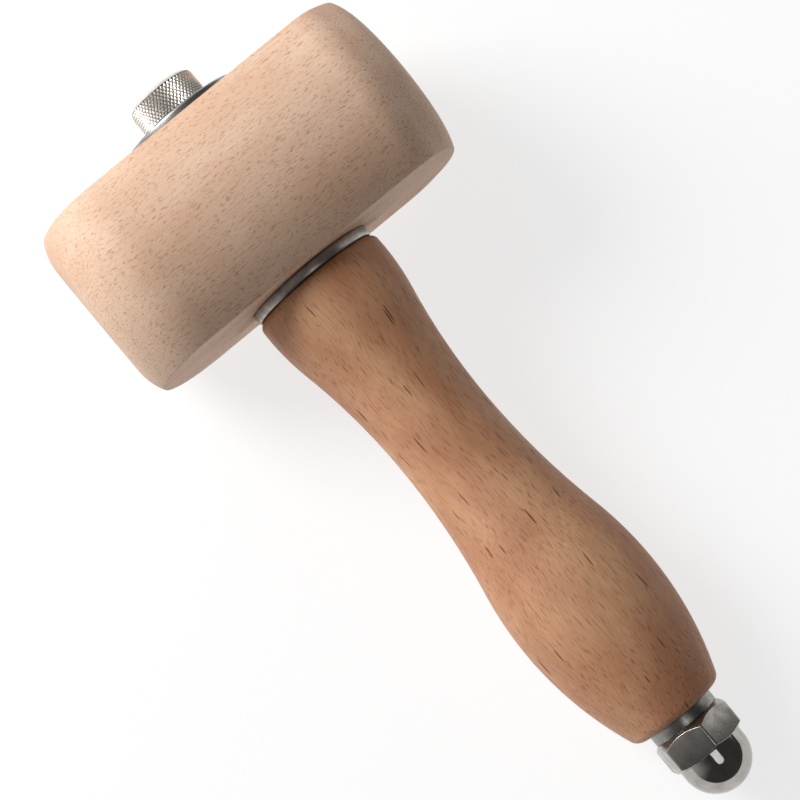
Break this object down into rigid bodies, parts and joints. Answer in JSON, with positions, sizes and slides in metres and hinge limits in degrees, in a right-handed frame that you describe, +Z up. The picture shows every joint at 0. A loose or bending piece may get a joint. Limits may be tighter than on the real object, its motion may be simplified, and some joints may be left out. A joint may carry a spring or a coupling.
{
  "type": "wooden mallet",
  "caption": "T-head wooden mallet: turned beech barrel with flat striking ends on a waisted handle, clamped by a knurled screw, washers and a domed nut.",
  "frame": {"origin": "centre of the bounding box's footprint, on the bench the mallet lies on", "axes": "+X towards the head end of the tool, +Y along the barrel axis, +Z up from the bench; the screw axis lies in the XZ plane, 5.9 degrees head-up"},
  "size_m": [0.1948, 0.084, 0.0584],
  "materials": {
    "head_beech": "satin, fine-sanded pale pinkish beech",
    "handle_beech": "satin, warmer oiled beech",
    "bolt_steel": "bright plated, diamond knurl on the head",
    "washer_steel": "satin zinc-plated",
    "ring_steel": "satin",
    "nut_plating": "polished nickel-chrome plating"
  },
  "bodies": {
    "clamped_mallet": {"mallet_head": "head_beech", "handle": "handle_beech", "tie_bolt": "bolt_steel", "top_washer": "washer_steel", "neck_washer": "washer_steel"},
    "loose_ring": {"end_washer": "ring_steel"},
    "domed_nut": {"acorn_nut": "nut_plating"}
  },
  "joints": [
    {"name": "nut_travel", "type": "slide", "parent": "clamped_mallet", "child": "loose_ring", "axis": [-0.9947, 0, -0.1032], "range_m": [0, 0.009]},
    {"name": "nut_turn", "type": "hinge", "parent": "loose_ring", "child": "domed_nut", "pos_m": [-0.07994, 0, 0.01406], "axis": [-0.9947, 0, -0.1032], "range_deg": [0, 2160]}
  ],
  "couplings": [
    {"joint": "nut_travel", "follows": "nut_turn", "m_per_rad": 0.00023873}
  ]
}
